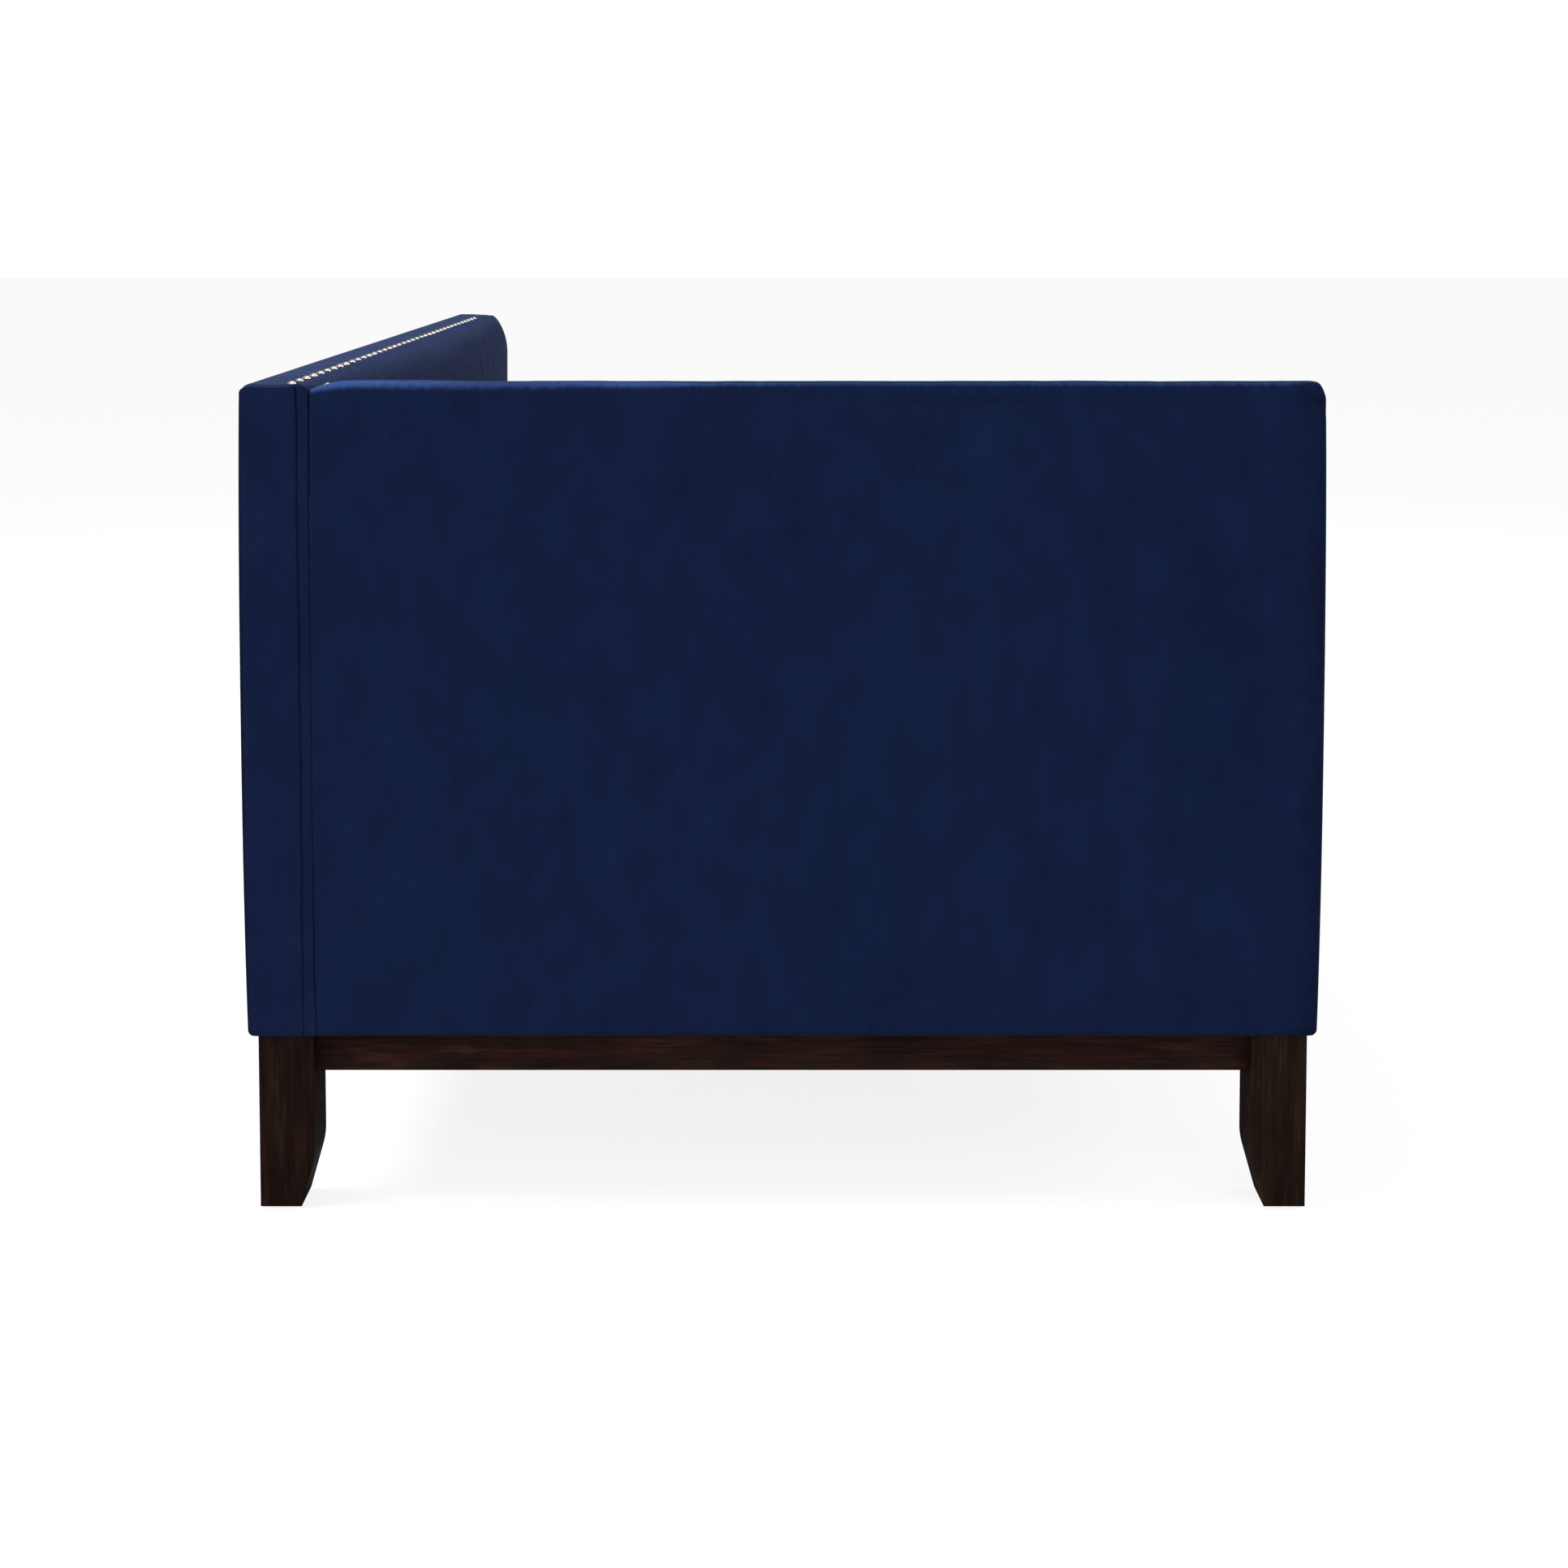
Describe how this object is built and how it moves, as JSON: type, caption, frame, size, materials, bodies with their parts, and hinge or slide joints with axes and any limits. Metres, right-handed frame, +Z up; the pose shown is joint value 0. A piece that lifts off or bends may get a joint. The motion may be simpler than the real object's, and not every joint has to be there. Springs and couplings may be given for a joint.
{
  "type": "upholstered daybed",
  "caption": "L-shaped upholstered daybed in navy velvet: full back, arm at one end, nailhead trim, loose seat cushion, dark tapered wooden legs.",
  "frame": {"origin": "middle of the length and depth, on the floor", "axes": "+X along the length from the arm to the open end, +Y from the front to the back, +Z up"},
  "size_m": [2.03, 1.092, 0.848],
  "materials": {
    "navy_velvet": "short-pile velvet, soft sheen",
    "deck_cloth": "plain woven decking cloth",
    "espresso_wood": "satin espresso stain",
    "frame_pine": "planed, unfinished",
    "lining_board": "raw hardboard",
    "zinc_steel": "zinc plated",
    "nail_metal": "polished pale brass",
    "black_cambric": "thin non-woven cloth",
    "felt": "dense felt"
  },
  "bodies": {
    "daybed": {"leg_front_arm": "espresso_wood", "leg_front_open": "espresso_wood", "leg_back_arm": "espresso_wood", "leg_back_open": "espresso_wood", "centre_support_leg": "frame_pine", "felt_feet": "felt", "apron_front": "espresso_wood", "apron_back": "espresso_wood", "apron_arm_end": "espresso_wood", "apron_open_end": "espresso_wood", "leg_bolts": "zinc_steel", "dust_cover": "black_cambric", "seat_rail_front": "frame_pine", "seat_rail_back": "frame_pine", "seat_rail_arm_end": "frame_pine", "seat_rail_open_end": "frame_pine", "centre_rail": "frame_pine", "slat_ledgers": "frame_pine", "seat_slats": "frame_pine", "corner_blocks": "frame_pine", "back_bottom_rail": "frame_pine", "back_top_rail": "frame_pine", "back_posts": "frame_pine", "back_tack_rails": "frame_pine", "back_lining_board": "lining_board", "arm_bottom_rail": "frame_pine", "arm_top_rail": "frame_pine", "arm_posts": "frame_pine", "arm_tack_rails": "frame_pine", "arm_lining_board": "lining_board", "frame_bolts": "zinc_steel", "outside_back_cover": "navy_velvet", "arm_outside_cover": "navy_velvet", "seat_border_cover": "navy_velvet", "seat_deck_pad": "deck_cloth", "inside_back_pad": "navy_velvet", "inside_arm_pad": "navy_velvet", "back_nailheads": "nail_metal", "arm_nailheads": "nail_metal"},
    "cushion": {"seat_cushion": "navy_velvet"}
  },
  "joints": [
    {"name": "cushion_lift", "type": "slide", "parent": "daybed", "child": "cushion", "axis": [0, 0, 1], "range_m": [0, 0.56]}
  ]
}
